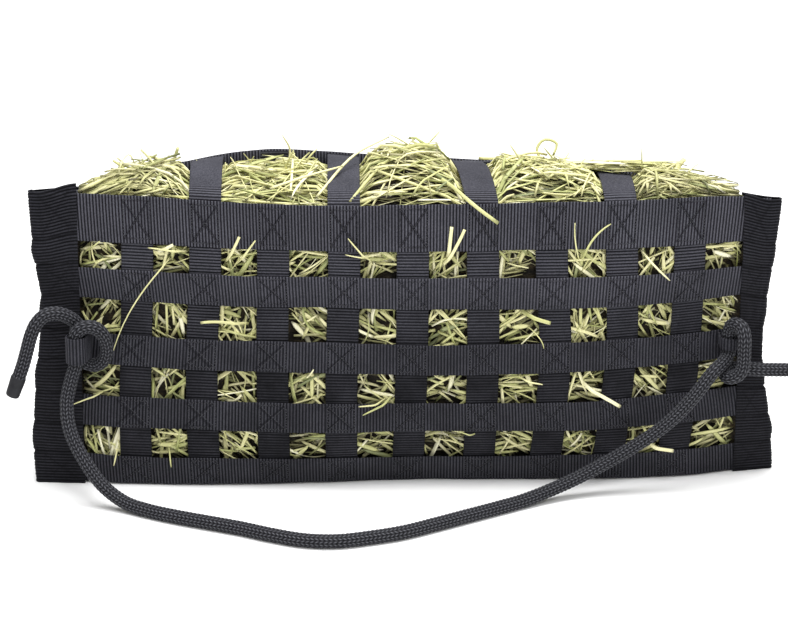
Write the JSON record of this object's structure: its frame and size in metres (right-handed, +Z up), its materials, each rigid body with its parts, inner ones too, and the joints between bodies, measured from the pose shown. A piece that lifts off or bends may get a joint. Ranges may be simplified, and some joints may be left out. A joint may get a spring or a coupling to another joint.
{
  "type": "hay net",
  "caption": "Slow-feed hay bag of sewn webbing straps with square feed openings, an open top with cross straps, stuffed with hay, and a hanging rope tied to a loop at each end.",
  "frame": {"origin": "middle of the footprint, on the surface that the bag stands on, measured without the rope", "axes": "+X along the bag towards its right end as seen from the feeding face, +Y towards the back, +Z up"},
  "size_m": [0.6798, 0.2382, 0.2702],
  "materials": {
    "webbing": "matte ribbed polypropylene webbing",
    "rope": "braided polypropylene rope",
    "rope_end": "matte shrink sleeve",
    "hay": "dry grass stalks"
  },
  "bodies": {
    "root": {"front_top_band": "webbing", "front_strap_2": "webbing", "front_strap_3": "webbing", "front_strap_4": "webbing", "front_strap_5": "webbing", "back_top_band": "webbing", "back_strap_2": "webbing", "back_strap_3": "webbing", "back_strap_4": "webbing", "back_strap_5": "webbing", "upright_strap_1": "webbing", "upright_strap_2": "webbing", "upright_strap_3": "webbing", "upright_strap_4": "webbing", "upright_strap_5": "webbing", "upright_strap_6": "webbing", "upright_strap_7": "webbing", "upright_strap_8": "webbing", "upright_strap_9": "webbing", "top_strap_1": "webbing", "top_strap_2": "webbing", "top_strap_3": "webbing", "top_strap_4": "webbing", "left_end_band": "webbing", "right_end_band": "webbing", "left_rope_loop": "webbing", "right_rope_loop": "webbing", "hanging_rope": "rope", "rope_left_tail": "rope", "left_rope_end": "rope_end", "right_rope_end": "rope_end", "hay_fill": "hay"}
  },
  "joints": []
}
